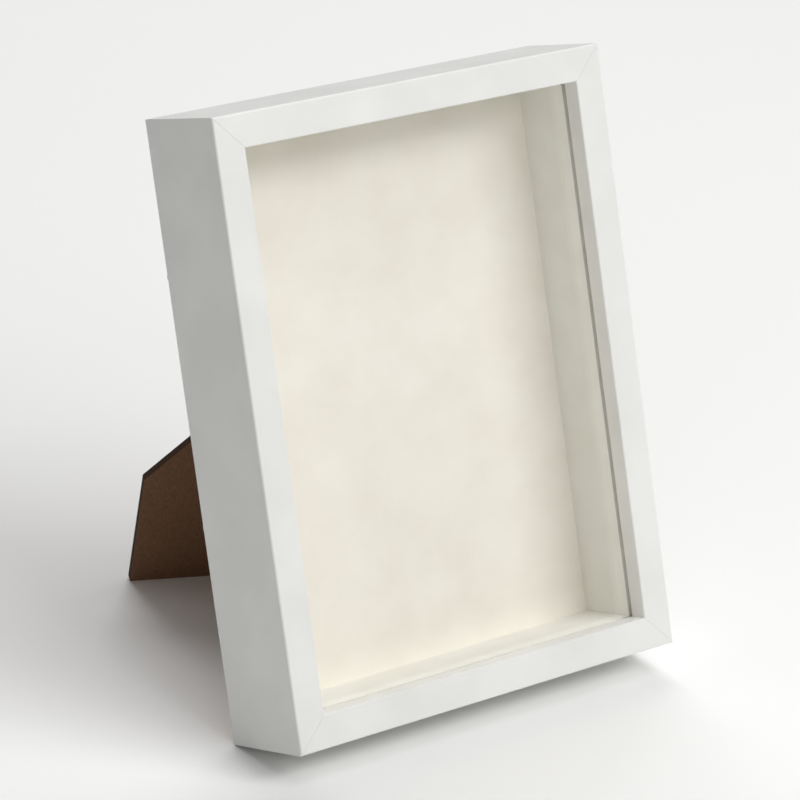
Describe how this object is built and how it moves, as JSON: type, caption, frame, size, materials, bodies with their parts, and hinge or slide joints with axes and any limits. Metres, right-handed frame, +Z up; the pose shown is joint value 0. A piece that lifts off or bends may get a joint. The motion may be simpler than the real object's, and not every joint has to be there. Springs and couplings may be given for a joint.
{
  "type": "shadow box",
  "caption": "Deep white picture box with mitred rails, a glass front, lined sides and a cream backing, leaning back on a folding two-way strut.",
  "frame": {"origin": "centre of the standing box and strut's footprint on the table", "axes": "+Z up, +Y from the glass front to the rear, +X to the right as the front is seen"},
  "size_m": [0.17, 0.1674, 0.2214],
  "materials": {
    "white_rail": "satin white film on MDF",
    "spacer_lining": "matt white lined strip",
    "glass": "clear float glass",
    "cream_card": "matt cream card",
    "filler_board": "matt grey-brown chipboard",
    "brown_board": "dark brown paper on MDF",
    "nail_steel": "plain steel",
    "hinge_steel": "zinc plated",
    "pin_steel": "plain steel",
    "rivet_steel": "zinc plated",
    "button_steel": "zinc plated",
    "screw_steel": "zinc plated",
    "strap_steel": "zinc plated",
    "ring_steel": "nickel plated wire"
  },
  "bodies": {
    "box": {"rail_top": "white_rail", "rail_bottom": "white_rail", "rail_left": "white_rail", "rail_right": "white_rail", "corner_v_nails": "nail_steel", "glass_pane": "glass", "spacer_top": "spacer_lining", "spacer_bottom": "spacer_lining", "spacer_left": "spacer_lining", "spacer_right": "spacer_lining", "backing_card": "cream_card", "filler_board": "filler_board", "back_panel": "brown_board", "hinge_fixed_leaf": "hinge_steel", "hinge_pin": "pin_steel", "hinge_fixed_rivets": "rivet_steel", "turn_button_screws": "screw_steel", "hanger_strap_top": "strap_steel", "hanger_strap_side": "strap_steel", "hanger_rivets": "rivet_steel"},
    "strut": {"hinge_strut_leaf": "hinge_steel", "hinge_strut_rivets": "rivet_steel", "strut_leg": "brown_board"},
    "turn_button_top": {"turn_button_top": "button_steel"},
    "turn_button_bottom": {"turn_button_bottom": "button_steel"},
    "turn_button_left_upper": {"turn_button_left_upper": "button_steel"},
    "turn_button_left_lower": {"turn_button_left_lower": "button_steel"},
    "turn_button_right_upper": {"turn_button_right_upper": "button_steel"},
    "turn_button_right_lower": {"turn_button_right_lower": "button_steel"},
    "hanger_ring_top": {"hanger_ring_top": "ring_steel"},
    "hanger_ring_side": {"hanger_ring_side": "ring_steel"}
  },
  "joints": [
    {"name": "strut_hinge", "type": "hinge", "parent": "box", "child": "strut", "pos_m": [0.03825, 0.00209, 0.14058], "axis": [0.848, -0.1638, -0.504], "range_deg": [-42, 0]},
    {"name": "turn_button_top_pivot", "type": "hinge", "parent": "box", "child": "turn_button_top", "pos_m": [-0.0306, 0.02152, 0.20524], "axis": [0, 0.9511, -0.309], "range_deg": [-90, 90]},
    {"name": "turn_button_bottom_pivot", "type": "hinge", "parent": "box", "child": "turn_button_bottom", "pos_m": [0.0306, -0.04399, 0.00362], "axis": [0, 0.9511, -0.309], "range_deg": [-90, 90]},
    {"name": "turn_button_left_upper_pivot", "type": "hinge", "parent": "box", "child": "turn_button_left_upper", "pos_m": [-0.081, 0.00576, 0.15674], "axis": [0, 0.9511, -0.309], "range_deg": [-90, 90]},
    {"name": "turn_button_left_lower_pivot", "type": "hinge", "parent": "box", "child": "turn_button_left_lower", "pos_m": [-0.081, -0.02143, 0.07305], "axis": [0, 0.9511, -0.309], "range_deg": [-90, 90]},
    {"name": "turn_button_right_upper_pivot", "type": "hinge", "parent": "box", "child": "turn_button_right_upper", "pos_m": [0.081, -0.00103, 0.13582], "axis": [0, 0.9511, -0.309], "range_deg": [-90, 90]},
    {"name": "turn_button_right_lower_pivot", "type": "hinge", "parent": "box", "child": "turn_button_right_lower", "pos_m": [0.081, -0.02823, 0.05212], "axis": [0, 0.9511, -0.309], "range_deg": [-90, 90]},
    {"name": "hanger_ring_top_swing", "type": "hinge", "parent": "box", "child": "hanger_ring_top", "pos_m": [0, 0.01889, 0.19453], "axis": [1, 0, 0], "range_deg": [-16, 160]},
    {"name": "hanger_ring_side_swing", "type": "hinge", "parent": "box", "child": "hanger_ring_side", "pos_m": [0.07, -0.01047, 0.10418], "axis": [0, -0.309, -0.9511], "range_deg": [-88, 88]}
  ]
}
